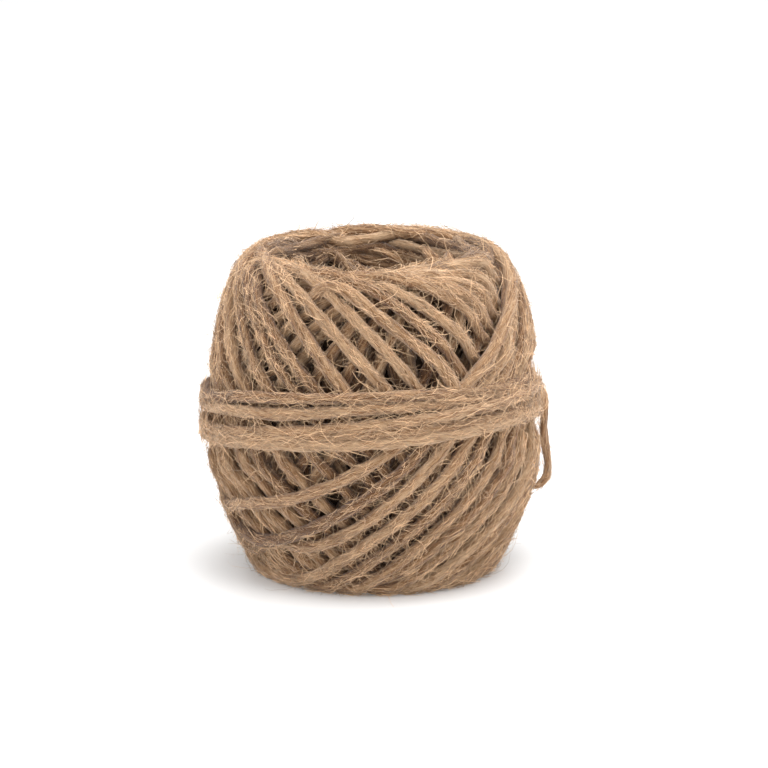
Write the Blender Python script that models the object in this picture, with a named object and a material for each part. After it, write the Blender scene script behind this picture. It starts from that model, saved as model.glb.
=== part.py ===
"""A ball of jute twine, wound about an open core and bound round its waist, with one loose end.

Lengths are written in millimetres and turned into metres where a point is placed.
The frame has +Z up and its origin on the floor under the middle of the ball.
Azimuth 0 is the front (-Y), and it grows towards the right (+X).
"""

import math

import bpy
import numpy as np

MM = 0.001

# Driving dimensions, in millimetres.
TWINE_DIAMETER = 3.0
BALL_HEIGHT = 75.0
BAND_STANDS_OUT = 1.0
GROOVE_DEPTH = 1.7
BAND_GROOVE_DEPTH = 1.2
CREST_GROOVE_DEPTH = 0.9
LOOSE_END_DIAMETER = 2.2

# A diagonal turn is a tilted loop: it climbs this far from the waist, along the section.
LOOP_REACH = 44.0
DIAGONAL_TURNS = 45

# How finely the ball is divided, round it and along its section.
COLUMNS_PER_TURN = 3
COLUMNS = DIAGONAL_TURNS * COLUMNS_PER_TURN
WALL_ROWS = 7
CREST_ROWS = 7
CORE_ROWS = 3
CURVE_STEPS = 24
HEIGHT_SAMPLES = 400

# The section of the ball, from the waist up over the crest, down the core and back under.
SECTION = (
    # name, radius, height
    ("waist", 38.8, 36.0),
    ("upper side", 38.3, 46.0),
    ("upper cheek", 36.4, 57.0),
    ("shoulder", 34.0, 66.0),
    ("brow", 31.0, 72.0),
    ("crest", 26.6, BALL_HEIGHT),
    ("funnel lip", 22.0, 73.4),
    ("funnel", 18.0, 69.0),
    ("core top", 14.8, 61.0),
    ("core middle", 13.0, 38.0),
    ("core bottom", 14.8, 14.0),
    ("lower funnel", 18.0, 5.0),
    ("flat inside", 21.5, 0.0),
    ("flat outside", 27.4, 0.0),
    ("lower brow", 30.4, 4.0),
    ("lower cheek", 34.0, 12.0),
    ("lower side", 37.7, 22.0),
)

# The turns that bind the waist, lowest first, by the heights at which they cross the ball.
BAND_TURNS = (
    # left, front, right
    (29.8, 35.8, 36.9),
    (32.9, 38.6, 38.2),
    (35.9, 41.4, 39.5),
    (39.0, 44.2, 40.8),
    (42.0, 47.0, 42.2),
)

# The loose end, which leaves the waist turns behind the right side and hangs to a hooked tip.
LOOSE_END = (
    # x, y, z
    (35.6, 21.2, 38.2),
    (37.7, 17.5, 38.7),
    (39.1, 14.4, 38.3),
    (39.8, 12.2, 36.4),
    (39.8, 10.9, 33.4),
    (39.7, 9.8, 30.2),
    (39.9, 8.7, 27.0),
    (40.4, 7.6, 23.9),
    (40.6, 6.6, 21.3),
    (40.0, 5.7, 19.0),
    (38.6, 5.0, 17.5),
    (37.2, 4.5, 16.9),
)
LOOSE_END_POINTS = 26


def smooth_line(points, closed):
    """Points on a Catmull-Rom curve through the given ones."""
    points = np.array(points, float)
    count = len(points)
    line = []
    for span in range(count if closed else count - 1):
        b = points[span]
        c = points[(span + 1) % count]
        a = points[span - 1] if closed or span else 2 * b - c
        d = points[(span + 2) % count] if closed or span + 2 < count else 2 * c - b
        for step in range(CURVE_STEPS):
            t = step / CURVE_STEPS
            bend = (2 * a - 5 * b + 4 * c - d) * t**2 + (3 * b - a - 3 * c + d) * t**3
            line.append(0.5 * (2 * b + (c - a) * t + bend))
    line.append(points[0] if closed else points[-1])
    return np.array(line)


def distances_along(line):
    steps = np.linalg.norm(np.diff(line, axis=0), axis=1)
    return np.concatenate([[0.0], np.cumsum(steps)])


def even_points(line, count):
    """The same line with its points an equal distance apart."""
    along = distances_along(line)
    wanted = np.linspace(0.0, along[-1], count)
    return np.stack([np.interp(wanted, along, line[:, axis]) for axis in range(3)], axis=1)


class Section:
    """The ball's section as a closed line, read by the distance along it from the waist."""

    def __init__(self):
        line = smooth_line([(radius, height) for _, radius, height in SECTION], closed=True)
        line[:, 1] = np.clip(line[:, 1], 0.0, BALL_HEIGHT)
        self.line = line
        self.along = distances_along(line)
        self.length = self.along[-1]
        slope = np.gradient(line, axis=0)
        outward = np.stack([slope[:, 1], -slope[:, 0]], axis=1)
        self.outward = outward / np.linalg.norm(outward, axis=1)[:, None]
        self.upward = np.linspace(self.station("flat outside"), self.station("crest"), HEIGHT_SAMPLES)
        self.heights = [self.at(distance)[0][1] for distance in self.upward]

    def at(self, distance):
        """The (radius, height) and the outward direction at a distance along the section."""
        along = distance % self.length
        place = [np.interp(along, self.along, self.line[:, axis]) for axis in (0, 1)]
        outward = [np.interp(along, self.along, self.outward[:, axis]) for axis in (0, 1)]
        return place, outward

    def station(self, name):
        """How far a named station is from the waist, below it with a minus sign."""
        index = [row[0] for row in SECTION].index(name)
        distance = self.along[index * CURVE_STEPS]
        return distance - self.length if distance > self.length / 2 else distance

    def distance_at_height(self, height):
        """How far from the waist the outer side reaches a height."""
        return float(np.interp(height, self.heights, self.upward))


def band_height(turn, azimuth):
    """The height of a waist turn's middle: it lies in a plane through its three crossings."""
    left, front, right = turn
    middle = (left + right) / 2
    return middle + (right - left) / 2 * math.sin(azimuth) + (front - middle) * math.cos(azimuth)


def band_rows(section, azimuth):
    """(distance, relief) of the rows across the waist turns, from below them to above.

    Each turn has two rows on its top and one in the groove above it.
    """
    half = TWINE_DIAMETER / 2
    middles = [band_height(turn, azimuth) for turn in BAND_TURNS]
    edges = [middles[0] - half]
    edges += [(low + high) / 2 for low, high in zip(middles, middles[1:])]
    edges += [middles[-1] + half]
    rows = [(edges[0], -GROOVE_DEPTH)]
    for below, above in zip(edges, edges[1:]):
        groove = -GROOVE_DEPTH if above == edges[-1] else BAND_STANDS_OUT - BAND_GROOVE_DEPTH
        rows.append((below + 0.3 * (above - below), BAND_STANDS_OUT))
        rows.append((below + 0.7 * (above - below), BAND_STANDS_OUT))
        rows.append((above, groove))
    return [(section.distance_at_height(height), relief) for height, relief in rows]


def wall_rows(start, end, relief):
    """(distance, relief) of the rows between two distances, at equal sweeps of a diagonal turn."""
    first = math.asin(start / LOOP_REACH)
    last = math.asin(end / LOOP_REACH)
    shares = [row / (WALL_ROWS + 1) for row in range(1, WALL_ROWS + 1)]
    return [(LOOP_REACH * math.sin(first + (last - first) * share), relief) for share in shares]


def plain_rows(start, end, count, relief=0.0):
    """(distance, relief) of evenly spaced rows, with every second one let in by the relief."""
    rows = np.linspace(start, end, count)
    return [(distance, relief * (row % 2)) for row, distance in enumerate(rows)]


def column_rows(section, azimuth, relief):
    """(distance, relief) of every row of one column, once round the section."""
    band = band_rows(section, azimuth)
    flat_outside = section.station("flat outside")
    flat_inside = section.station("flat inside")
    brow = section.station("brow")
    core_top = section.station("core top")
    core_bottom = section.station("core bottom")
    round_again = section.length
    rows = wall_rows(flat_outside, band[0][0], relief)
    rows += band
    rows += wall_rows(band[-1][0], brow, relief)
    rows += plain_rows(brow, core_top, CREST_ROWS, -CREST_GROOVE_DEPTH)
    rows += plain_rows(core_top, core_bottom + round_again, CORE_ROWS + 2)[1:]
    rows += plain_rows(core_bottom + round_again, flat_inside + round_again, 3)[1:]
    rows += [(flat_outside + round_again, 0.0)]
    return rows


def sweep(section, distance):
    """How far a diagonal turn has run back round the ball at a distance from the waist."""
    distance = (distance + section.length / 2) % section.length - section.length / 2
    furthest = section.station("brow")
    return -math.asin(min(abs(distance), furthest) / LOOP_REACH)


def twine_material(name, colour):
    material = bpy.data.materials.new(name)
    material.use_nodes = True
    shader = material.node_tree.nodes["Principled BSDF"]
    shader.inputs["Base Color"].default_value = colour
    shader.inputs["Roughness"].default_value = 0.9
    shader.inputs["Metallic"].default_value = 0.0
    return material


def wound_ball(collection, material):
    """The ball: a torus whose points are moved onto the section, with its turns raised."""
    section = Section()
    row_count = len(column_rows(section, 0.0, 0.0))
    bpy.ops.mesh.primitive_torus_add(
        major_segments=COLUMNS,
        minor_segments=row_count,
        major_radius=0.025,
        minor_radius=0.010,
    )
    ball = bpy.context.active_object
    ball.name = "wound_ball"
    for column in range(COLUMNS):
        azimuth = 2 * math.pi * column / COLUMNS
        in_groove = column % COLUMNS_PER_TURN == COLUMNS_PER_TURN - 1
        relief_of_column = -GROOVE_DEPTH if in_groove else 0.0
        rows = column_rows(section, azimuth, relief_of_column)
        for row, (distance, relief) in enumerate(rows):
            (radius, height), (outward_r, outward_z) = section.at(distance)
            turned = azimuth + sweep(section, distance)
            radius += relief * outward_r
            height = max(0.0, height + relief * outward_z)
            place = (radius * math.sin(turned), -radius * math.cos(turned), height)
            ball.data.vertices[column * row_count + row].co = [MM * value for value in place]
    ball.data.update()
    ball.data.shade_smooth()
    triangles = ball.modifiers.new("short diagonals", "TRIANGULATE")
    triangles.quad_method = "SHORTEST_DIAGONAL"
    ball.data.materials.append(material)
    for other in ball.users_collection:
        other.objects.unlink(ball)
    collection.objects.link(ball)


def loose_end(collection, material):
    """The free end of the twine, a round cord on a smooth curve."""
    curve = bpy.data.curves.new("loose_end", "CURVE")
    curve.dimensions = "3D"
    curve.bevel_depth = LOOSE_END_DIAMETER / 2 * MM
    curve.bevel_resolution = 2
    curve.use_fill_caps = True
    route = even_points(smooth_line(LOOSE_END, closed=False), LOOSE_END_POINTS)
    spline = curve.splines.new("POLY")
    spline.points.add(len(route) - 1)
    for point, place in zip(spline.points, route):
        point.co = (*(place * MM), 1.0)
    cord = bpy.data.objects.new("loose_end", curve)
    cord.data.materials.append(material)
    collection.objects.link(cord)


def main():
    for obj in list(bpy.data.objects):
        bpy.data.objects.remove(obj)
    collection = bpy.data.collections.new("ball of string")
    bpy.context.scene.collection.children.link(collection)
    wound_ball(collection, twine_material("jute twine", (0.42, 0.27, 0.16, 1.0)))
    loose_end(collection, twine_material("loose jute", (0.45, 0.30, 0.18, 1.0)))


main()
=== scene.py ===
# %% [markdown]
# # A ball of jute string
# A ball like this is wound by a machine about a thin spindle: the spindle is drawn out at the end
# and leaves an open core. Every turn is a tilted loop round the ball, and the tilt creeps round as
# the ball grows, so the turns cross in layers. Last of all a few turns bind the waist.
# This lesson winds the same ball in Blender. It works out one long path for the twine, lays each
# turn under the turns that were wound after it, and makes the twine itself as a bevelled curve.

# %% The frame and the sizes
import math

import bmesh
import bpy
import numpy as np
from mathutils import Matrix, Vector


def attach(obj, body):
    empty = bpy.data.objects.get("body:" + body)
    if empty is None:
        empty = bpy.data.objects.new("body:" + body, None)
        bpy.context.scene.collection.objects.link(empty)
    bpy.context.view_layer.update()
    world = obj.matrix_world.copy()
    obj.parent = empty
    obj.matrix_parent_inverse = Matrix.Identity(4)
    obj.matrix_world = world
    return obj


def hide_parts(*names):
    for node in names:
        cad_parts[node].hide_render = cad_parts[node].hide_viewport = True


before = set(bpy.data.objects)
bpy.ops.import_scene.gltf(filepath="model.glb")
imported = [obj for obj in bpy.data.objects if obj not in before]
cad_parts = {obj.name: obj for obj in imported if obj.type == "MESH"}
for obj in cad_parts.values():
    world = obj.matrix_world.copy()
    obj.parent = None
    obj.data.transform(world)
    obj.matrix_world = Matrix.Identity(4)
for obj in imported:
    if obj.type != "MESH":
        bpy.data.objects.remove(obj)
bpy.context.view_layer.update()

MM = 0.001
TWINE_RADIUS = 1.5
BALL_HEIGHT = 75.0
chance = np.random.default_rng(20)

# %% [markdown]
# ## The camera
# The photograph looks a little down on the ball, from well over ten times its width. So far off,
# the sides of the ball look nearly parallel, and a long lens brings it near again.

# %% The camera
CAMERA_DISTANCE = 850.0
CAMERA_LIFT = math.radians(13.2)
CAMERA_SIDE = 2.2
AIM_HEIGHT = 42.8
LENS = 172.3

camera_data = bpy.data.cameras.new("camera")
camera_data.lens = LENS
camera_data.sensor_width = 36.0
camera_data.clip_start = 0.05
camera_data.clip_end = 20.0
camera = bpy.data.objects.new("camera", camera_data)
camera.location = (
    CAMERA_SIDE * MM,
    -CAMERA_DISTANCE * math.cos(CAMERA_LIFT) * MM,
    (AIM_HEIGHT + CAMERA_DISTANCE * math.sin(CAMERA_LIFT)) * MM,
)
camera.rotation_euler = (math.pi / 2 - CAMERA_LIFT, 0.0, 0.0)
bpy.context.scene.collection.objects.link(camera)
bpy.context.scene.camera = camera
print("the camera stands", CAMERA_DISTANCE, "mm away and", round(camera.location.z * 1000), "mm up")

# %% [markdown]
# ## Jute
# Jute is a dull bast fibre. A strand of it shows long pale and brown streaks, because each fibre
# runs nearly along the twine. So the pattern has to follow the twine and not the ball: every piece
# of twine carries an attribute that says how far along and how far round it a point is, in
# millimetres, and the noise is stretched along the first of these.

# %% Helpers for materials


def new_material(name):
    material = bpy.data.materials.new(name)
    material.use_nodes = True
    return material, material.node_tree, material.node_tree.nodes["Principled BSDF"]


def add_node(tree, kind, **values):
    """A new node, with its plain properties set by name."""
    node = tree.nodes.new(kind)
    for name, value in values.items():
        setattr(node, name, value)
    return node


def streak_noise(tree, vector, scale, detail=4.0, roughness=0.6):
    """A noise texture that is stretched by its Mapping node's scale along each axis."""
    mapping = add_node(tree, "ShaderNodeMapping")
    mapping.inputs["Scale"].default_value = scale
    tree.links.new(vector, mapping.inputs["Vector"])
    noise = add_node(tree, "ShaderNodeTexNoise")
    noise.inputs["Scale"].default_value = 1.0
    noise.inputs["Detail"].default_value = detail
    noise.inputs["Roughness"].default_value = roughness
    tree.links.new(mapping.outputs["Vector"], noise.inputs["Vector"])
    return noise.outputs["Fac"]


def colour_ramp(tree, value, stops):
    """Colours at positions from 0 to 1, driven by a value."""
    ramp = add_node(tree, "ShaderNodeValToRGB")
    while len(ramp.color_ramp.elements) < len(stops):
        ramp.color_ramp.elements.new(0.5)
    for element, (position, colour) in zip(ramp.color_ramp.elements, stops):
        element.position = position
        element.color = (*colour, 1.0)
    tree.links.new(value, ramp.inputs["Fac"])
    return ramp.outputs["Color"]


def maths(tree, operation, first, second):
    node = add_node(tree, "ShaderNodeMath", operation=operation)
    for socket, value in zip(node.inputs, (first, second)):
        if isinstance(value, (int, float)):
            socket.default_value = value
        else:
            tree.links.new(value, socket)
    return node.outputs["Value"]


def blend_colours(tree, how, share, first, second):
    """A Mix node for colours; each of the three inputs may be a socket or a plain value."""
    node = add_node(tree, "ShaderNodeMix", data_type="RGBA", blend_type=how)
    for socket, value in zip((node.inputs[0], node.inputs[6], node.inputs[7]), (share, first, second)):
        if isinstance(value, bpy.types.NodeSocket):
            tree.links.new(value, socket)
        else:
            socket.default_value = value
    return node.outputs[2]


# %% The twine's finish
DARK_JUTE = (0.17, 0.078, 0.032)
BROWN_JUTE = (0.37, 0.190, 0.086)
STRAW_JUTE = (0.56, 0.330, 0.168)
PALE_JUTE = (0.78, 0.52, 0.31)
# How often each noise changes in a millimetre: along the twine, and twice across it.
COARSE_STREAKS = (0.12, 0.9, 0.9)
FINE_STREAKS = (0.30, 3.2, 3.2)
FLECKS = (0.8, 2.4, 2.4)
COARSE_SHARE = 0.35
FINE_SHARE = 0.65
FLECKS_ABOVE = 0.63
FLECK_SHARE = 0.35
FLECK_TINT = (0.45, 0.36, 0.28, 1.0)
BUMP_HEIGHT = 0.0006


def twine_finish(name, brightness_and_shade):
    """Jute twine: streaks along the fibres, a tone for each stretch of twine, and a fibrous bump."""
    material, tree, shader = new_material(name)
    place = add_node(tree, "ShaderNodeAttribute", attribute_name="fibre").outputs["Vector"]
    tone = add_node(tree, "ShaderNodeAttribute", attribute_name="tone").outputs["Fac"]
    coarse = streak_noise(tree, place, COARSE_STREAKS)
    fine = streak_noise(tree, place, FINE_STREAKS, roughness=0.7)
    flecks = streak_noise(tree, place, FLECKS, detail=3.0)
    coarse_part = maths(tree, "MULTIPLY", coarse, COARSE_SHARE)
    fine_part = maths(tree, "MULTIPLY", fine, FINE_SHARE)
    mixed = maths(tree, "ADD", maths(tree, "ADD", coarse_part, fine_part), tone)
    colour = colour_ramp(
        tree,
        mixed,
        [(0.38, DARK_JUTE), (0.46, BROWN_JUTE), (0.53, STRAW_JUTE), (0.63, PALE_JUTE)],
    )
    is_fleck = maths(tree, "GREATER_THAN", flecks, FLECKS_ABOVE)
    fleck_share = maths(tree, "MULTIPLY", is_fleck, FLECK_SHARE)
    colour = blend_colours(tree, "MULTIPLY", fleck_share, colour, FLECK_TINT)
    # The brightness scales the whole colour; the lower values of the inner and core finishes are
    # painted shade for turns that lie deep.
    colour = blend_colours(tree, "MULTIPLY", 1.0, colour, (brightness_and_shade, brightness_and_shade, brightness_and_shade, 1.0))
    tree.links.new(colour, shader.inputs["Base Color"])
    shader.inputs["Roughness"].default_value = 0.85
    shader.inputs["Specular IOR Level"].default_value = 0.25
    shader.inputs["Sheen Weight"].default_value = 0.25
    shader.inputs["Sheen Roughness"].default_value = 0.45
    bump = add_node(tree, "ShaderNodeBump")
    bump.inputs["Strength"].default_value = 1.0
    bump.inputs["Distance"].default_value = BUMP_HEIGHT
    tree.links.new(maths(tree, "ADD", fine, coarse), bump.inputs["Height"])
    tree.links.new(bump.outputs["Normal"], shader.inputs["Normal"])
    return material


def hair_finish(name, colour):
    """A single fibre that stands off the twine: a little glossy, and from dim to pale by its tone."""
    material, tree, shader = new_material(name)
    tone = add_node(tree, "ShaderNodeAttribute", attribute_name="tone").outputs["Fac"]
    low = [value * 0.25 for value in colour]
    tint = colour_ramp(tree, maths(tree, "ADD", tone, 0.5), [(0.0, low), (1.0, colour)])
    tree.links.new(tint, shader.inputs["Base Color"])
    shader.inputs["Roughness"].default_value = 0.55
    shader.inputs["Specular IOR Level"].default_value = 0.3
    shader.inputs["Sheen Weight"].default_value = 0.3
    return material


# The inner and core finishes are the outer jute painted darker, as shade in the gaps and down the hole.
outer_jute = twine_finish("outer_jute", 0.69)
shaded_inner_jute = twine_finish("shaded_inner_jute", 0.48)
shaded_core_jute = twine_finish("shaded_core_jute", 0.26)
hair_jute = hair_finish("hair_jute", (0.86, 0.565, 0.33))
print("finishes:", [material.name for material in bpy.data.materials if "jute" in material.name])

# %% [markdown]
# ## Twine from a bevelled curve
# Two plies are twisted into this twine. A curve with a bevel object sweeps a cross-section along
# its points, and the tilt of each point turns the section, so a two-lobed section with a steadily
# growing tilt makes the twist with no modelling by hand. The curve is then made a mesh, because
# only a mesh can carry the attribute that the finish reads.

# %% The cross-sections
PLY_PITCH = 19.0
LOBE_FLATNESS = 0.11
LOBE_NOTCH = 0.08


def two_ply_outline(sides):
    """Radius factors and angles of a two-lobed section: full at the plies, low between them."""
    angles = np.arange(sides) * 2 * math.pi / sides
    radii = 1.0 - LOBE_FLATNESS * np.sin(angles) ** 2 - LOBE_NOTCH * np.sin(angles) ** 8
    return angles, radii


def outline_object(name, angles, radii):
    """A flat curve to sweep: closed, or a straight line where it has two points only."""
    curve = bpy.data.curves.new(name, "CURVE")
    curve.dimensions = "2D"
    spline = curve.splines.new("POLY")
    spline.points.add(len(angles) - 1)
    for point, angle, radius in zip(spline.points, angles, radii):
        point.co = (radius * math.cos(angle) * MM, radius * math.sin(angle) * MM, 0.0, 1.0)
    spline.use_cyclic_u = len(angles) > 2
    outline = bpy.data.objects.new(name, curve)
    outline.hide_render = True
    bpy.context.scene.collection.objects.link(outline)
    return outline


# %% A helper that turns runs of twine into one mesh piece
# The streaks follow the twist of the plies only in part, because each ply is twisted the other way.
STREAK_TWIST = 0.7


def piece_of_runs(name, runs, outline, material):
    """One mesh from many runs: dicts with points in mm, tilt, radius in mm, tone and start."""
    angles, radii = outline
    section = outline_object(name + "_section", angles, radii)
    curve = bpy.data.curves.new(name, "CURVE")
    curve.dimensions = "3D"
    curve.bevel_mode = "OBJECT"
    curve.bevel_object = section
    curve.use_fill_caps = True
    for run in runs:
        count = len(run["points"])
        spline = curve.splines.new("POLY")
        spline.points.add(count - 1)
        points = np.ones((count, 4))
        points[:, :3] = run["points"] * MM
        spline.points.foreach_set("co", points.ravel())
        spline.points.foreach_set("tilt", run["tilt"])
        spline.points.foreach_set("radius", run["radius"])
    holder = bpy.data.objects.new(name + "_curve", curve)
    bpy.context.scene.collection.objects.link(holder)
    graph = bpy.context.evaluated_depsgraph_get()
    mesh = bpy.data.meshes.new_from_object(holder.evaluated_get(graph))
    mesh.name = name
    fibre, tones = [], []
    for run in runs:
        count = len(run["points"])
        order = np.arange(count)
        # A closed section has its two end caps first in the mesh, before the rings.
        if len(angles) > 2:
            order = np.concatenate([[count - 1, 0], order])
        steps = np.linalg.norm(np.diff(run["points"], axis=0), axis=1)
        along = run["start"] + np.concatenate([[0.0], np.cumsum(steps)])
        around = angles[None, :] - STREAK_TWIST * run["tilt"][order][:, None]
        radius = run["radius"][order][:, None] * radii[None, :]
        along = np.repeat(along[order][:, None], len(angles), 1)
        place = np.stack([along, radius * np.cos(around), radius * np.sin(around)], axis=2)
        fibre.append(place.reshape(-1, 3))
        tones.append(np.repeat(run["tone"][order], len(angles)))
    fibre, tones = np.concatenate(fibre), np.concatenate(tones)
    assert len(fibre) == len(mesh.vertices), "the rings of the mesh aren't in the order of the runs"
    mesh.attributes.new("fibre", "FLOAT_VECTOR", "POINT").data.foreach_set("vector", fibre.ravel())
    mesh.attributes.new("tone", "FLOAT", "POINT").data.foreach_set("value", tones)
    piece = bpy.data.objects.new(name, mesh)
    mesh.materials.clear()
    mesh.materials.append(material)
    bpy.context.scene.collection.objects.link(piece)
    bpy.data.objects.remove(holder)
    bpy.data.objects.remove(section)
    triangles = sum(len(face.vertices) - 2 for face in mesh.polygons)
    print(name, "has", len(runs), "runs and", triangles, "triangles")
    return piece


# %% Helpers for lines
CURVE_STEPS = 24


def slow_noise(count, spread, size):
    """A smooth random line: independent values, smoothed over a spread of points."""
    values = chance.normal(size=count + 6 * spread)
    reach = np.arange(-3 * spread, 3 * spread + 1)
    weight = np.exp(-0.5 * (reach / spread) ** 2)
    smooth = np.convolve(values, weight / math.sqrt((weight**2).sum()), mode="same")
    return size * smooth[3 * spread : 3 * spread + count]


def smooth_line(points, closed=False):
    """Points on a Catmull-Rom curve through the given ones."""
    points = np.array(points, float)
    count = len(points)
    line = []
    for span in range(count if closed else count - 1):
        b = points[span]
        c = points[(span + 1) % count]
        a = points[span - 1] if closed or span else 2 * b - c
        d = points[(span + 2) % count] if closed or span + 2 < count else 2 * c - b
        for step in range(CURVE_STEPS):
            t = step / CURVE_STEPS
            bend = (2 * a - 5 * b + 4 * c - d) * t**2 + (3 * b - a - 3 * c + d) * t**3
            line.append(0.5 * (2 * b + (c - a) * t + bend))
    line.append(points[0] if closed else points[-1])
    return np.array(line)


def distances_along(line):
    return np.concatenate([[0.0], np.cumsum(np.linalg.norm(np.diff(line, axis=0), axis=1))])


def even_points(line, step):
    """The same line with its points one step apart."""
    along = distances_along(line)
    wanted = np.linspace(0.0, along[-1], max(2, round(along[-1] / step) + 1))
    return np.stack([np.interp(wanted, along, column) for column in line.T], axis=1)


def twine_run(points, tone, start=0.0, radius=TWINE_RADIUS, evenness=0.04):
    """A run of twine whose tilt, radius and tone wander a little over short and long spreads."""
    along = start + distances_along(points)
    count = len(points)
    return {
        "points": points,
        "start": start,
        "tilt": 2 * math.pi * along / PLY_PITCH + slow_noise(count, 12, 0.35),
        "radius": radius * (1 + slow_noise(count, 8, evenness) + slow_noise(count, 90, 1.3 * evenness)),
        "tone": tone + slow_noise(count, 30, 0.02) + slow_noise(count, 150, 0.03),
    }


# %% [markdown]
# ## The loose end
# One end of the twine shows: it leaves the waist turns behind the right side, hangs down by the
# ball and ends in a small hook. It is the only free cord here, so it is made first. Its route is
# the same list of points as the solid's.

# %% The loose end
LOOSE_END_RADIUS = 1.1
ROUTE_STEP = 0.5
FRAYED_TIP = (0.97, 0.9, 0.8, 0.66, 0.5)
LOOSE_END = (
    # x, y, z
    (35.6, 21.2, 38.2),
    (37.7, 17.5, 38.7),
    (39.1, 14.4, 38.3),
    (39.8, 12.2, 36.4),
    (39.8, 10.9, 33.4),
    (39.7, 9.8, 30.2),
    (39.9, 8.7, 27.0),
    (40.4, 7.6, 23.9),
    (40.6, 6.6, 21.3),
    (40.0, 5.7, 19.0),
    (38.6, 5.0, 17.5),
    (37.2, 4.5, 16.9),
)

route = even_points(smooth_line(LOOSE_END), ROUTE_STEP)
loose_run = twine_run(route, 0.05, radius=LOOSE_END_RADIUS, evenness=0.05)
loose_run["radius"][-len(FRAYED_TIP) :] *= np.array(FRAYED_TIP)
loose_end = piece_of_runs("loose_end_twine", [loose_run], two_ply_outline(14), outer_jute)
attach(loose_end, "root")
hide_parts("loose_end")

# %% [markdown]
# ## The shape of the ball
# The ball is a turned shape with an open core, so a place on it needs two numbers: the azimuth
# round it and the distance along its section. The section is a closed line that starts at the
# waist, climbs over the crest, runs down the core and comes back under. A third number, the depth,
# says how far below the surface something lies.

# %% The section
SECTION = (
    # name, radius, height
    ("waist", 38.8, 36.0),
    ("upper side", 38.3, 46.0),
    ("upper cheek", 36.4, 57.0),
    ("shoulder", 34.0, 66.0),
    ("brow", 31.0, 72.0),
    ("crest", 26.6, BALL_HEIGHT),
    ("funnel lip", 22.0, 73.4),
    ("funnel", 18.0, 69.0),
    ("core top", 14.8, 61.0),
    ("core middle", 13.0, 38.0),
    ("core bottom", 14.8, 14.0),
    ("lower funnel", 18.0, 5.0),
    ("flat inside", 21.5, 0.0),
    ("flat outside", 27.4, 0.0),
    ("lower brow", 30.4, 4.0),
    ("lower cheek", 34.0, 12.0),
    ("lower side", 37.7, 22.0),
)
section_line = smooth_line([(radius, height) for _, radius, height in SECTION], closed=True)
section_line[:, 1] = np.clip(section_line[:, 1], 0.0, BALL_HEIGHT)
section_along = distances_along(section_line)
SECTION_LENGTH = section_along[-1]
# The outer side runs from the flat ring, below the waist, up to the crest.
OUTER_SIDE = (-38.6, 42.7)
slope = np.gradient(section_line, axis=0)
section_outward = np.stack([slope[:, 1], -slope[:, 0]], axis=1)
section_outward /= np.linalg.norm(section_outward, axis=1)[:, None]
print("the section is", round(SECTION_LENGTH, 1), "mm round")


def radius_and_height(distance, depth=0.0):
    """Where a distance along the section and a depth below it are."""
    where = np.asarray(distance) % SECTION_LENGTH
    place = [np.interp(where, section_along, section_line[:, k]) for k in (0, 1)]
    outward = [np.interp(where, section_along, section_outward[:, k]) for k in (0, 1)]
    return place[0] - depth * outward[0], place[1] - depth * outward[1]


def on_ball(azimuth, distance, depth):
    """Points in the row's frame, in mm."""
    radius, height = radius_and_height(distance, depth)
    return np.stack([radius * np.sin(azimuth), -radius * np.cos(azimuth), height], axis=-1)


def distance_at_height(height):
    """How far from the waist the outer side reaches a height."""
    samples = np.linspace(*OUTER_SIDE, 400)
    return np.interp(height, radius_and_height(samples)[1], samples)


# %% [markdown]
# ## The winding, backwards
# It is simplest to follow the twine back in time, from the loose end to the core. The newest turns
# lie on the surface, where the camera sees them, and every older turn goes under those that it
# crosses. The path is one long line of three numbers: azimuth, distance along the section, and the
# count of turns, which is below zero for the turns that bind the waist.

# %% The tables of turns
WAIST_TURNS = (
    # height at the left, front and right, newest first
    (31.9, 38.0, 37.2),
    (33.6, 40.2, 39.8),
    (35.5, 42.4, 42.5),
    (39.0, 45.5, 43.8),
    (42.3, 48.0, 45.0),
)
LAST_LOOPS = (
    # middle, reach, azimuth of the top in degrees
    (13.4, 28.2, 124.3),
    (7.0, 33.5, 119.0),
    (4.0, 37.0, 122.5),
    (2.0, 40.0, 127.0),
    (0.5, 41.5, 134.0),
)
# Two of these loops are bent aside at the lower left of the photograph.
BENT_LOOPS = {
    # loop: (how far along the section in mm, azimuth in degrees, half-width in degrees)
    0: (-9.5, -90.0, 25.5),
    2: (4.9, -45.0, 22.0),
}
# The tops of the loops before those, in degrees, as far as the photograph shows them.
SEEN_TOPS = (
    # up the right side, round the back and down the left side
    (144, 153, 163, 174, 186, 198, 209, 220, 231, 245, 258)
    # across the front
    + (267, 277, 294, 304, 329, 342, 353, 364, 374, 385, 396)
)
CREEP = 11.5
LOOPS = 76
FULL_LOOPS = 66
REACH = 41.3
FUNNEL_REACH = (43.0, 58.0)
RIM_FLATNESS = 0.28
FUNNEL_FLATNESS = 0.6
FUNNEL_DIVE = 6.0
WAIST_START = math.radians(121.0)
LOOPS_START = math.radians(221.0)
WAIST_COUNT = len(WAIST_TURNS) + (LOOPS_START - WAIST_START) / (2 * math.pi)
STEP = 0.8
seen_loops = len(LAST_LOOPS) + len(SEEN_TOPS)
print("the tables hold", len(WAIST_TURNS), "waist turns and", seen_loops, "loops that are seen")


def eased(share):
    share = np.clip(share, 0.0, 1.0)
    return share * share * (3 - 2 * share)


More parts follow.
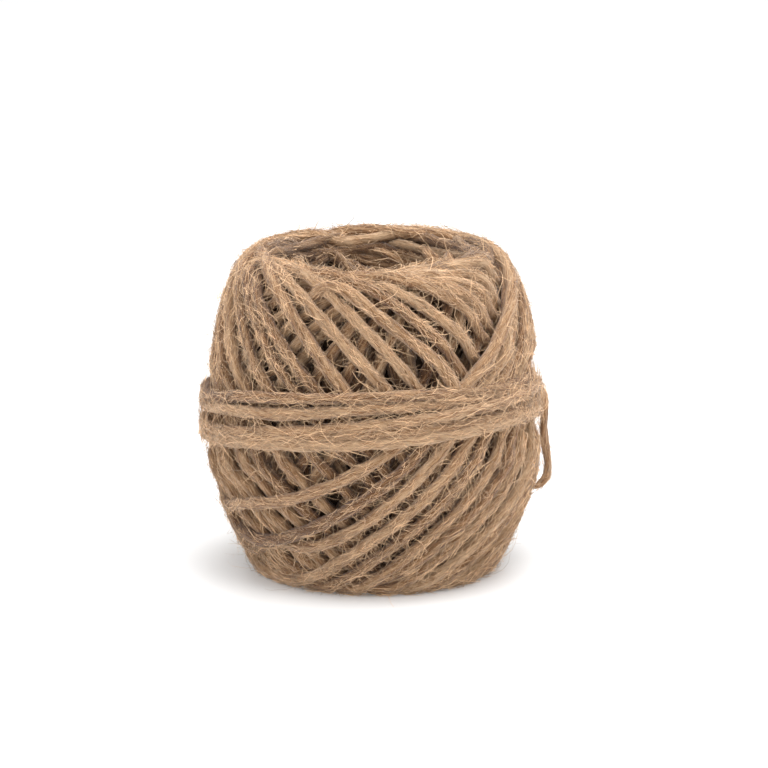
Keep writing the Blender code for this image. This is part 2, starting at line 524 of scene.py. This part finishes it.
# %% The path of the waist turns
SAMPLES_A_TURN = 1200
STEPS_OVER_IN = 0.3
WANDER = 0.25
TANGLE = 0.9
TANGLE_AZIMUTH = 288
TANGLE_HALF_WIDTH = 26
LEAVES_LOOSE_END_IN = 0.2
WAIST_LIFT = 1.0
WAIST_ASIDE = 1.0
FIRST_LIFT = 2.4
FIRST_LIFT_FOR = 0.12
turn = np.arange(0, WAIST_COUNT, 1 / SAMPLES_A_TURN)
waist_azimuth = WAIST_START + 2 * math.pi * turn
row = np.maximum(0.0, np.floor(turn) - 1 + eased((turn % 1.0) / STEPS_OVER_IN))
crossings = np.array(WAIST_TURNS)
left, front, right = (np.interp(row, np.arange(len(crossings)), column) for column in crossings.T)
middle = (left + right) / 2
across, ahead = np.sin(waist_azimuth), np.cos(waist_azimuth)
waist_height = middle + (right - left) / 2 * across + (front - middle) * ahead
from_tangle = np.degrees(waist_azimuth) % 360 - TANGLE_AZIMUTH
tangle = np.exp(-((from_tangle / TANGLE_HALF_WIDTH) ** 2))
waist_height += slow_noise(len(turn), 60, WANDER) + tangle * slow_noise(len(turn), 60, TANGLE)
waist_height += (LOOSE_END[0][2] - waist_height) * (1 - eased(turn / LEAVES_LOOSE_END_IN))
joining = eased((turn - len(WAIST_TURNS)) / (WAIST_COUNT - len(WAIST_TURNS)))
middle, reach, top = LAST_LOOPS[0]
first_loop = middle + reach * np.cos(waist_azimuth - math.radians(top))
waist_distance = (1 - joining) * distance_at_height(waist_height) + joining * first_loop
lift = (WAIST_LIFT - WAIST_ASIDE * across) * (1 - joining)
lift = lift + FIRST_LIFT * (1 - eased(turn / FIRST_LIFT_FOR))
waist_path = np.stack([waist_azimuth, waist_distance, turn - WAIST_COUNT, lift], axis=1)
print("the twine goes", round(WAIST_COUNT, 2), "times round the waist")

# %% [markdown]
# ## Laying the twine
# A grid over the ball remembers how deep the newer twine reaches. Each older stretch looks at the
# grid on both sides of its line and goes just under what it finds, down to a limit that grows
# with its age. Twine is springy, so it can't dip and rise sharply: the line that it takes is made
# of gentle parabolas that are nowhere above the depths it needs. This is far quicker than letting
# so many loops settle in a physics simulation.

# %% The grid
GRID_STEP = 0.4
AZIMUTH_CELLS = 720
DISTANCE_CELLS = round(SECTION_LENGTH / GRID_STEP)
SQUASH = 0.85
BEND_RADIUS = 14.0
REST_DEPTH = 0.6
END_LIMIT = 1.9
ENDS_FROM = 40.5
SHALLOWEST_LIMIT = 2.6
LIMIT_A_LOOP = 0.10
DEEPEST = 6.8
HIDDEN = 3.0
# The twine looks this share of its radius to each side, and presses on a wider one.
LOOKS_ASIDE = 0.6
PRESSES_ASIDE = 0.8
SPRING_REACH = 14.0
SMOOTH_POINTS = 4
SMOOTH_WIDTH = 1.4
# Inside the crest the turns heap up by this height, about this distance, over this half-width.
SWELL_HEIGHT = 1.7
SWELL_AT = 47.0
SWELL_HALF_WIDTH = 3.6
# The limit near the ends eases towards the waist and, for a few millimetres, down the funnel.
ENDS_MIDDLE = 1.5
EASES_TO_WAIST = 0.65
EASES_DOWN_FUNNEL = 0.35
FUNNEL_FROM = 46.0
FUNNEL_FOR = 8.0
covered = np.zeros((AZIMUTH_CELLS, DISTANCE_CELLS))
print("the grid has", AZIMUTH_CELLS, "by", DISTANCE_CELLS, "cells")


def swelling(distance):
    """How far the turns heap up at the inner side of the crest, in mm."""
    return SWELL_HEIGHT * np.exp(-(((distance - SWELL_AT) / SWELL_HALF_WIDTH) ** 2))


def end_limit(distance):
    """How deep the twine may lie near the two ends, where the turns are squeezed together."""
    before = EASES_TO_WAIST * np.clip(ENDS_FROM - np.abs(distance - ENDS_MIDDLE), 0.0, None)
    inside = EASES_DOWN_FUNNEL * np.clip(distance - FUNNEL_FROM, 0.0, FUNNEL_FOR)
    return END_LIMIT + before + inside - swelling(distance)


def cells(azimuth, distance):
    rows = (azimuth / (2 * math.pi) * AZIMUTH_CELLS).astype(int) % AZIMUTH_CELLS
    share = (distance % SECTION_LENGTH) / SECTION_LENGTH
    return rows, (share * DISTANCE_CELLS).astype(int) % DISTANCE_CELLS


def beside(path, offset):
    """The path moved sideways on the surface by an offset in mm."""
    radius = radius_and_height(path[:, 1])[0]
    round_it = np.gradient(path[:, 0]) * radius
    along_it = np.gradient(path[:, 1])
    length = np.hypot(round_it, along_it) + 1e-9
    return path[:, 0] - offset * along_it / length / radius, path[:, 1] + offset * round_it / length


def depth_under(path):
    """The depth that each point needs to be under the newer twine, and how open it lies."""
    needed = np.zeros(len(path))
    is_open = np.zeros(len(path))
    offsets = np.linspace(-LOOKS_ASIDE, LOOKS_ASIDE, 5) * TWINE_RADIUS
    for offset in offsets:
        above = covered[cells(*beside(path, offset))]
        needed = np.maximum(needed, above + SQUASH * math.sqrt(TWINE_RADIUS**2 - offset**2))
        is_open += above <= 0
    return needed, is_open / len(offsets)


def springy(depth):
    """The shallowest gentle line that is nowhere above the given depths."""
    held = depth.copy()
    for shift in range(1, int(SPRING_REACH / STEP) + 1):
        drop = (shift * STEP) ** 2 / (2 * BEND_RADIUS)
        held[shift:] = np.maximum(held[shift:], depth[:-shift] - drop)
        held[:-shift] = np.maximum(held[:-shift], depth[shift:] - drop)
    beside_point = np.arange(-SMOOTH_POINTS, SMOOTH_POINTS + 1)
    weight = np.exp(-0.5 * (beside_point * STEP / SMOOTH_WIDTH) ** 2)
    padded = np.pad(held, SMOOTH_POINTS, mode="edge")
    return np.convolve(padded, weight / weight.sum(), mode="valid")


def press(path, depth):
    """Marks the grid under a stretch of twine."""
    fine = np.linspace(0, len(path) - 1, 2 * len(path))
    fine_path = np.stack([np.interp(fine, np.arange(len(path)), column) for column in path.T], axis=1)
    fine_depth = np.interp(fine, np.arange(len(path)), depth)
    for offset in np.linspace(-PRESSES_ASIDE, PRESSES_ASIDE, 9) * TWINE_RADIUS:
        underside = fine_depth + SQUASH * math.sqrt(TWINE_RADIUS**2 - offset**2)
        np.maximum.at(covered, cells(*beside(fine_path, offset)), underside)


# %% The layer of twine that is being laid
# A lifted stretch may not go as deep, and feels less of what lies over it.
LIFT_RAISES_LIMIT = 1.2
LIFT_RAISES_LINE = 0.7
STRETCH_LENGTH = 90


class Layer:
    """Twine laid back in time, stretch by stretch.

    The last part of each stretch is pressed into the grid one stretch late, so that the twine
    doesn't avoid its own end.
    """

    LATE = 16

    def __init__(self):
        self.paths = []
        self.depths = []
        self.opens = []
        self.hidden = []
        self.waiting = None

    def lay(self, path, lift=0.0, dive=0.0):
        needed, is_open = depth_under(path)
        limit = np.clip(SHALLOWEST_LIMIT + LIMIT_A_LOOP * path[:, 2], 0.0, DEEPEST)
        limit = limit - LIFT_RAISES_LIMIT * lift
        limit = np.minimum(limit, end_limit(path[:, 1]) + dive)
        rest = REST_DEPTH + np.abs(slow_noise(len(path), 40, 0.3)) - lift - swelling(path[:, 1])
        before = self.depths[-1][-self.LATE :] if self.depths else rest[:0]
        wanted = np.clip(needed - LIFT_RAISES_LINE * lift, rest, np.maximum(rest, limit))
        held = springy(np.concatenate([before, wanted]))
        if self.waiting:
            press(*self.waiting)
        depth = held[len(before) :]
        self.paths.append(path)
        self.depths.append(depth)
        self.opens.append(is_open)
        self.hidden.append(needed - depth > HIDDEN)
        press(path[: -self.LATE], depth[: -self.LATE])
        self.waiting = (path[-self.LATE - 2 :], depth[-self.LATE - 2 :])

    def joined(self):
        return [np.concatenate(parts) for parts in (self.paths, self.depths, self.opens, self.hidden)]


def even_path(path):
    """Resamples a path so that its points are one step apart on the surface."""
    along = distances_along(on_ball(path[:, 0], path[:, 1], 0.0))
    wanted = np.arange(0.0, along[-1], STEP)
    return np.stack([np.interp(wanted, along, column) for column in path.T], axis=1)


winding = Layer()
waist_path = even_path(waist_path)
for part in np.array_split(waist_path, round(len(waist_path) * STEP / STRETCH_LENGTH)):
    winding.lay(part[:, :3], lift=part[:, 3])
print("laid", round(len(waist_path) * STEP / 1000, 2), "m of twine round the waist")

# %% [markdown]
# ## The loops find their own places
# Where the loops turn, at the two ends of the ball, many of them lie side by side. Each loop tries
# a few turning circles, wider and narrower, and takes the one where it lies highest. That packs
# the ends as a real machine's tension does, and the older loops come to rest inside the funnel.

# %% Laying the loops
TRIES = (-1.5, 0.0, 1.5, 3.0, 4.5, 6.0, 7.5)
WIDER_COSTS = 0.14
END_SCATTER = 0.4
REACH_A_LOOP = 0.06
LEAST_CREEP = 4.0
CREEP_SPREAD = 2.6
SAMPLES_A_LOOP = 900
# The last part of each loop moves over to the tilt and reach of the next.
MOVES_FROM = 0.64
MOVES_FOR = 0.36
# A loop that reaches past the crest has a flatter top, and dives beside it, by its swing.
CREST_FROM = 42.0
CREST_FOR = 6.0
DIVE_FROM = 0.35
DIVE_FOR = 0.5
END_HALF_WIDTH = math.radians(42.0)


def crowding(top_distance, bottom_distance, top, which):
    """How deep a loop would have to lie on average at its top or bottom end."""
    half = np.linspace(-END_HALF_WIDTH, END_HALF_WIDTH, 40)
    azimuth = top + half + (0.0 if which == "top" else math.pi)
    middle, reach = (top_distance + bottom_distance) / 2, (top_distance - bottom_distance) / 2
    path = np.stack([azimuth, middle + reach * np.cos(azimuth - top)], axis=1)
    return depth_under(path)[0].mean()


loops = [(middle + reach, middle - reach, math.radians(top)) for middle, reach, top in LAST_LOOPS]
for number in range(len(LAST_LOOPS), LOOPS + 2):
    older = number - len(LAST_LOOPS)
    if older < len(SEEN_TOPS):
        top = math.radians(SEEN_TOPS[older])
    else:
        top = loops[-1][2] + math.radians(max(LEAST_CREEP, chance.normal(CREEP, CREEP_SPREAD)))
    is_seen = older < len(SEEN_TOPS)
    reach = REACH + REACH_A_LOOP * older if is_seen else chance.uniform(*FUNNEL_REACH)
    loops.append((reach, -reach, top))

for number in range(LOOPS):
    upper, lower, top = loops[number + 1]
    if number + 1 >= len(LAST_LOOPS):
        crowded = [crowding(upper + step, lower, top, "top") for step in TRIES]
        scores = [score + WIDER_COSTS * abs(step) for score, step in zip(crowded, TRIES)]
        upper += TRIES[int(np.argmin(scores))] + chance.normal(0, END_SCATTER)
        crowded = [crowding(upper, lower - step, top, "bottom") for step in TRIES]
        scores = [score + WIDER_COSTS * abs(step) for score, step in zip(crowded, TRIES)]
        lower -= TRIES[int(np.argmin(scores))] + chance.normal(0, END_SCATTER)
        loops[number + 1] = (upper, lower, top)
    share = np.arange(0, 1, 1 / SAMPLES_A_LOOP)
    azimuth = LOOPS_START + 2 * math.pi * (number + share)
    moved = eased((share - MOVES_FROM) / MOVES_FOR)
    this_and_next = zip(loops[number], loops[number + 1])
    upper, lower, top = [(1 - moved) * a + moved * b for a, b in this_and_next]
    swing = (azimuth - top + math.pi) % (2 * math.pi) - math.pi
    in_funnel = number > seen_loops
    flatness = FUNNEL_FLATNESS if in_funnel else RIM_FLATNESS * np.clip(np.cos(swing), 0.0, 1.0)
    past_crest = np.clip((upper - CREST_FROM) / CREST_FOR, 0.0, 1.0)
    swing -= flatness * past_crest * np.sin(swing) * np.clip(np.cos(swing), 0.0, 1.0)
    distance = (upper + lower) / 2 + (upper - lower) / 2 * np.cos(swing)
    if number in BENT_LOOPS:
        aside, where, width = BENT_LOOPS[number]
        turned = (np.degrees(azimuth) - where + 180) % 360 - 180
        distance += aside * np.exp(-((turned / width) ** 2))
    swept = even_path(np.stack([azimuth, distance, number + share, np.abs(swing)], axis=1))
    dive = FUNNEL_DIVE * eased((swept[:, 3] - DIVE_FROM) / DIVE_FOR) if in_funnel else 0.0
    winding.lay(swept[:, :3], dive=dive)
laid = sum(len(path) for path in winding.paths) * STEP / 1000
print("laid", round(laid, 1), "m of twine in all")

# %% [markdown]
# ## The twine that shows
# The path is one long line, but much of it is buried. A stretch that lies under two layers or more
# is left out, unless it belongs to the newest loops or lies inside the rim, and the oldest loops
# are kept only near the two ends. The rest is cut into pieces: fine ones for the newer loops, which
# make the surface, and plainer ones for the older loops, which show only through the gaps.

# %% Cutting the path into runs
SHORTEST_RUN = 12
# The tone also goes up and down from turn to turn: by how much, how fast and from where.
TONE_WAVE = (0.045, 2.4, 0.7)


def stretches(keep, shortest):
    """(start, stop) of each unbroken stretch of points that are kept."""
    edges = np.flatnonzero(np.diff(np.concatenate([[False], keep, [False]]).astype(int)))
    return [(a, b) for a, b in zip(edges[::2], edges[1::2]) if b - a >= shortest]


def runs_of(path, depth, keep, every, tone_spread):
    """Twine runs for the kept stretches, with every point or only every few."""
    runs = []
    size, pace, shift = TONE_WAVE
    for start, stop in stretches(keep, SHORTEST_RUN):
        chosen = slice(start, stop, every)
        run = twine_run(
            on_ball(path[chosen, 0], path[chosen, 1], depth[chosen]),
            chance.normal(0.0, tone_spread) + size * np.sin(path[chosen, 2] * pace + shift),
            start=start * STEP,
        )
        run["points"][:, 2] = np.maximum(run["points"][:, 2], run["radius"])
        runs.append(run)
    return runs


# %% The twine of the surface and of the gaps
FINE_LOOPS = 34
WHOLE_LOOPS = 12
ENDS_BEYOND = (-34, 35)
INSIDE_RIM = 37
path, depth, is_open, is_hidden = winding.joined()
path[:, 1] += slow_noise(len(path), 16, 0.28)
turn = path[:, 2]
widened = np.convolve(~is_hidden, np.ones(9), mode="same") > 0
near_ends = (path[:, 1] > ENDS_BEYOND[1]) | (path[:, 1] < ENDS_BEYOND[0])
inside_rim = path[:, 1] > INSIDE_RIM
shows = (widened | (turn < WHOLE_LOOPS) | inside_rim) & ((turn < FULL_LOOPS) | near_ends)

two_ply_fine = two_ply_outline(12)
two_ply_plain = two_ply_outline(8)
pieces = []
waist_runs = runs_of(path, depth, turn < 0, 1, 0.015)
pieces.append(piece_of_runs("waist_turns", waist_runs, two_ply_outline(14), outer_jute))
for part, (first, last) in enumerate(((0, FINE_LOOPS / 2), (FINE_LOOPS / 2, FINE_LOOPS))):
    runs = runs_of(path, depth, shows & (turn >= first) & (turn < last), 1, 0.02)
    pieces.append(piece_of_runs(f"outer_turns_{part + 1}", runs, two_ply_fine, outer_jute))
# The older loops, seen only through the gaps, take the inner finish, painted darker as shade.
for part, (first, last) in enumerate(((FINE_LOOPS, FULL_LOOPS), (FULL_LOOPS, LOOPS))):
    runs = runs_of(path, depth, shows & (turn >= first) & (turn < last), 2, 0.02)
    pieces.append(piece_of_runs(f"inner_turns_{part + 1}", runs, two_ply_plain, shaded_inner_jute))

# %% [markdown]
# ## A slack turn
# One turn lies loose below the rim: it comes out from under its neighbours, bends over in the
# open and slips back under them. Its route is listed.

# %% The slack turn
SLACK_TURN = (
    # azimuth in degrees, distance, depth
    (-30.0, 33.5, 4.5),
    (-26.5, 35.2, 2.6),
    (-23.5, 36.4, 1.2),
    (-20.0, 37.0, 0.4),
    (-16.5, 37.2, 0.2),
    (-12.0, 36.5, 0.3),
    (-6.5, 34.5, 0.6),
    (-1.0, 32.0, 0.9),
    (5.0, 29.2, 1.0),
    (11.0, 26.2, 1.0),
    (17.0, 23.2, 1.0),
    (23.5, 19.5, 1.3),
    (28.5, 15.5, 2.0),
    (33.0, 11.0, 3.2),
)
slack_line = even_points(smooth_line(SLACK_TURN), 1.0)
slack_route = on_ball(np.radians(slack_line[:, 0]), slack_line[:, 1], slack_line[:, 2])
slack_run = twine_run(even_points(slack_route, STEP), 0.0)
pieces.append(piece_of_runs("slack_turn", [slack_run], two_ply_fine, outer_jute))
slack_path = np.column_stack([np.radians(slack_line[:, 0]), slack_line[:, 1]])

# %% [markdown]
# ## The wall of the core
# Down the hole the oldest turns show. They were wound straight on the spindle, so they cross on the
# core's wall in steep loops. They are made in the same way, with their middle half-way down.

# %% The core's turns
CORE_LOOPS = 26
CORE_MIDDLE = SECTION_LENGTH / 2 + 0.5
CORE_REACH = 27.5
CORE_CREEP = math.radians(14.4)
core = Layer()
for number in range(CORE_LOOPS):
    count = number + np.arange(0, 1, 1 / 400)
    azimuth = 2 * math.pi * count
    distance = CORE_MIDDLE + CORE_REACH * np.cos(azimuth - CORE_CREEP * count)
    core.lay(even_path(np.stack([azimuth, distance, count], axis=1)))
core_path, core_depth, _, core_hidden = core.joined()
runs = runs_of(core_path, core_depth, ~core_hidden, 2, 0.02)
# The core's turns take the darkest finish: painted shade for the wall of the hole.
pieces.append(piece_of_runs("core_turns", runs, two_ply_plain, shaded_core_jute))

# %% [markdown]
# ## What lies deeper
# Behind the gaps there is only more twine in the dark. A turned form under the laid twine closes
# the view with a few thousand plain faces: a profile is drawn with vertices and edges, and spun.

# %% The buried form
BURIED_DEPTH = 8.2
PROFILE_POINTS = 72
SPIN_STEPS = 96
BURIED_GRAIN = (260.0, 260.0, 900.0)
# Its colours are nearly black: painted shade for the twine that lies in the dark behind the gaps.
BURIED_SHADE_COLOURS = [(0.3, (0.03, 0.018, 0.01)), (0.7, (0.12, 0.07, 0.038))]
buried_mesh = bpy.data.meshes.new("buried_winding")
shape = bmesh.new()
profile = []
for share in np.arange(PROFILE_POINTS) / PROFILE_POINTS:
    radius, height = radius_and_height(share * SECTION_LENGTH, BURIED_DEPTH)
    profile.append(shape.verts.new((float(radius) * MM, 0.0, float(height) * MM)))
edges = [shape.edges.new((a, b)) for a, b in zip(profile, profile[1:] + profile[:1])]
bmesh.ops.spin(
    shape,
    geom=profile + edges,
    cent=(0, 0, 0),
    axis=(0, 0, 1),
    angle=2 * math.pi,
    steps=SPIN_STEPS,
    use_merge=True,
    use_duplicate=False,
)
bmesh.ops.remove_doubles(shape, verts=shape.verts, dist=1e-6)
bmesh.ops.recalc_face_normals(shape, faces=shape.faces)
shape.to_mesh(buried_mesh)
shape.free()
buried_mesh.shade_smooth()
buried = bpy.data.objects.new("buried_winding", buried_mesh)
bpy.context.scene.collection.objects.link(buried)

shaded_buried_jute, tree, shader = new_material("shaded_buried_jute")
place = add_node(tree, "ShaderNodeTexCoord").outputs["Object"]
grain = streak_noise(tree, place, BURIED_GRAIN)
tree.links.new(colour_ramp(tree, grain, BURIED_SHADE_COLOURS), shader.inputs["Base Color"])
shader.inputs["Roughness"].default_value = 0.95
buried_mesh.materials.append(shaded_buried_jute)
pieces.append(buried)
print("the buried form has", len(buried_mesh.polygons), "faces")

# %% [markdown]
# ## Loose fibres
# Jute is hairy: thousands of fibres stand off the twine, most of them lying low along it, some
# bridging the gaps and a few standing out from the ball. Each one is a flat ribbon with only a few
# segments, turned any way, so that tens of thousands of them stay light.

# %% Growing the fibres
ROOT_AT = 0.88
FALL_RADIUS = 36.0
HIGHEST_ABOVE_BALL = 4
ribbon_outline = (np.array([0.0, math.pi]), np.ones(2))


def roots_on_ball(path, depth):
    """The twine's middle, outward direction and heading at each point of a path on the ball."""
    centre = on_ball(path[:, 0], path[:, 1], depth)
    outward = on_ball(path[:, 0], path[:, 1], depth - 1.0) - centre
    return centre, outward, headings(centre)


def headings(line):
    heading = np.gradient(line, axis=0)
    return heading / np.linalg.norm(heading, axis=1)[:, None]


def grow_hairs(roots, weight, count, segments, length, rise, spread, thickness, radius=TWINE_RADIUS):
    """Hairs that start on the twine's outer side, where the weight lets them, and curl as they go.

    Most of them bow back to the twine, and all fall away a little, as the ball's surface does.
    """
    chosen = chance.choice(len(weight), count, p=weight / weight.sum())
    centre, outward, tangent = (part[chosen] for part in roots)
    sideways = np.cross(tangent, outward)
    lean = chance.normal(0, 0.7, count)[:, None]
    place = centre + radius * ROOT_AT * (np.cos(lean) * outward + np.sin(lean) * sideways)
    long = chance.lognormal(math.log(length), 0.45, count).clip(0.8, 2.2 * length)[:, None]
    yaw = chance.normal(0, spread, count) + np.where(chance.random(count) < 0.5, 0.0, math.pi)
    curl = chance.normal(0, 1.1, count)
    pitch = np.abs(chance.normal(rise, 0.6 * rise, count))
    bow = np.where(chance.random(count) < 0.3, 0.3, -2.2) * pitch
    points = [place]
    for share in np.arange(segments) / segments:
        yaw_now = yaw + curl * share + chance.normal(0, 0.12, count)
        pitch_now = pitch + bow * share + chance.normal(0, 0.08, count)
        flat = np.cos(yaw_now)[:, None] * tangent + np.sin(yaw_now)[:, None] * sideways
        heading = np.cos(pitch_now)[:, None] * flat + np.sin(pitch_now)[:, None] * outward
        place = place + heading * long / segments
        points.append(place)
    points = np.stack(points, axis=1)
    fallen = long * (np.arange(segments + 1) / segments)[None, :]
    points -= outward[:, None, :] * (fallen**2 / (2 * FALL_RADIUS))[:, :, None]
    points[:, :, 2] = points[:, :, 2].clip(0.1, BALL_HEIGHT + HIGHEST_ABOVE_BALL)
    taper = np.linspace(1.0, 0.5, segments + 1)
    thick = chance.uniform(0.6, 1.4, count) * thickness
    tones = chance.uniform(-0.5, 0.5, count)
    turned = chance.uniform(0.0, math.pi, count)
    return [
        {
            "points": points[hair],
            "start": 0.0,
            "tilt": np.full(segments + 1, turned[hair]),
            "radius": thick[hair] * taper,
            "tone": np.full(segments + 1, tones[hair]),
        }
        for hair in range(count)
    ]


# Inside the rim the twine is rubbed smooth by the spindle, so fewer fibres stand there.
RUBBED_OFF = 0.65
RUBBED_FROM = 43.0
RUBBED_IN = 6.0
TOP_DEPTH = 3.2
GAP_DEPTH = 5.5
rubbed = 1 - RUBBED_OFF * eased((path[:, 1] - RUBBED_FROM) / RUBBED_IN)
on_waist = (turn < 0).astype(float)
on_top = is_open * (depth < TOP_DEPTH) * (turn >= 0) * rubbed
in_gaps = (depth < GAP_DEPTH) * (turn >= 0) * (0.2 + is_open) * rubbed
HAIRS = (
    # name, where, count, segments, length, rise, spread, thickness
    ("low_fibres", on_top, 32000, 3, 2.8, 0.09, 0.24, 0.055),
    ("gap_fibres", in_gaps, 17000, 3, 2.4, 0.36, 0.95, 0.045),
    ("waist_fibres", on_waist, 10000, 4, 3.8, 0.14, 0.30, 0.055),
    ("curled_fibres", in_gaps, 3200, 5, 4.5, 0.45, 1.0, 0.050),
    ("stray_fibres", in_gaps, 600, 8, 8.0, 0.40, 0.9, 0.055),
)
roots = roots_on_ball(path, depth)
for name, where, *growth in HAIRS:
    hairs = grow_hairs(roots, where, *growth)
    pieces.append(piece_of_runs(name, hairs, ribbon_outline, hair_jute))

# %% Fibres on the slack turn and the loose end
# Their count, segments, length, rise, spread and thickness, as in the table above.
slack_roots = roots_on_ball(slack_path, slack_line[:, 2])
SLACK_HAIRS = (620, 3, 2.8, 0.12, 0.30, 0.055)
hairs = grow_hairs(slack_roots, np.ones(len(slack_path)), *SLACK_HAIRS)
pieces.append(piece_of_runs("slack_fibres", hairs, ribbon_outline, hair_jute))

around = chance.uniform(0, 2 * math.pi, len(route))
tangent = headings(route)
across = np.cross(tangent, np.array([0.0, 1.0, 0.0]))
across /= np.linalg.norm(across, axis=1)[:, None]
outward = np.cos(around)[:, None] * across + np.sin(around)[:, None] * np.cross(tangent, across)
loose_roots = (route, outward, tangent)
LOOSE_END_HAIRS = (420, 3, 2.0, 0.12, 0.3, 0.045)
hairs = grow_hairs(loose_roots, np.ones(len(route)), *LOOSE_END_HAIRS, LOOSE_END_RADIUS)
loose_fibres = piece_of_runs("loose_end_fibres", hairs, ribbon_outline, hair_jute)
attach(loose_fibres, "root")

# %% [markdown]
# ## Putting the pieces on the frame
# All the twine but the loose end stands for one solid, the wound ball, which stays in the physics
# model for its collision and weight.

# %% Riding on the frame
for piece in pieces:
    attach(piece, "root")
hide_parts("wound_ball")
print(len(pieces) + 1, "pieces ride on the ball")

# %% [markdown]
# ## A white table and soft light
# The photograph was taken on white, with light from all sides, so the ball has only a thin shadow
# where it touches the table. A bright even sky does most of the work, a large lamp above the ball
# gives it form, and a weak lamp at each side lights its cheeks.

# %% The table
TABLE_HALF_WIDTH = 6.0
TABLE_WHITE = (0.70, 0.70, 0.70, 1.0)
TABLE_GLOW = 0.10
PURE_WHITE = (1.0, 1.0, 1.0, 1.0)
floor_mesh = bpy.data.meshes.new("table")
shape = bmesh.new()
bmesh.ops.create_grid(shape, x_segments=1, y_segments=1, size=TABLE_HALF_WIDTH)
shape.to_mesh(floor_mesh)
shape.free()
table = bpy.data.objects.new("table", floor_mesh)
bpy.context.scene.collection.objects.link(table)
white, tree, shader = new_material("white_table")
shader.inputs["Base Color"].default_value = TABLE_WHITE
shader.inputs["Roughness"].default_value = 0.5
shader.inputs["Emission Color"].default_value = PURE_WHITE
shader.inputs["Emission Strength"].default_value = TABLE_GLOW
floor_mesh.materials.append(white)
print("the table is", 2 * TABLE_HALF_WIDTH, "m wide")

# %% The light
SKY_STRENGTH = 0.85
LAMPS = (
    # name, place, size, power
    ("top", (0.14, -0.06, 1.08), 1.0, 19.5),
    ("right", (0.85, -0.45, 0.35), 0.7, 3.0),
    ("left", (-0.80, -0.45, 0.35), 0.7, 2.8),
)
AIM = Vector((0.0, 0.0, 0.04))
world = bpy.data.worlds.new("sky")
world.use_nodes = True
sky = world.node_tree.nodes["Background"]
sky.inputs["Color"].default_value = PURE_WHITE
sky.inputs["Strength"].default_value = SKY_STRENGTH
bpy.context.scene.world = world


def lamp(name, place, size, power):
    """A square area lamp that looks at the middle of the ball."""
    data = bpy.data.lights.new(name, "AREA")
    data.size = size
    data.energy = power
    thing = bpy.data.objects.new(name, data)
    thing.location = place
    thing.rotation_euler = (AIM - Vector(place)).to_track_quat("-Z", "Y").to_euler()
    bpy.context.scene.collection.objects.link(thing)


for lamp_row in LAMPS:
    lamp(*lamp_row)
print(len(LAMPS), "lamps and an even sky light the ball")
bpy.context.scene.view_settings.view_transform = "Standard"
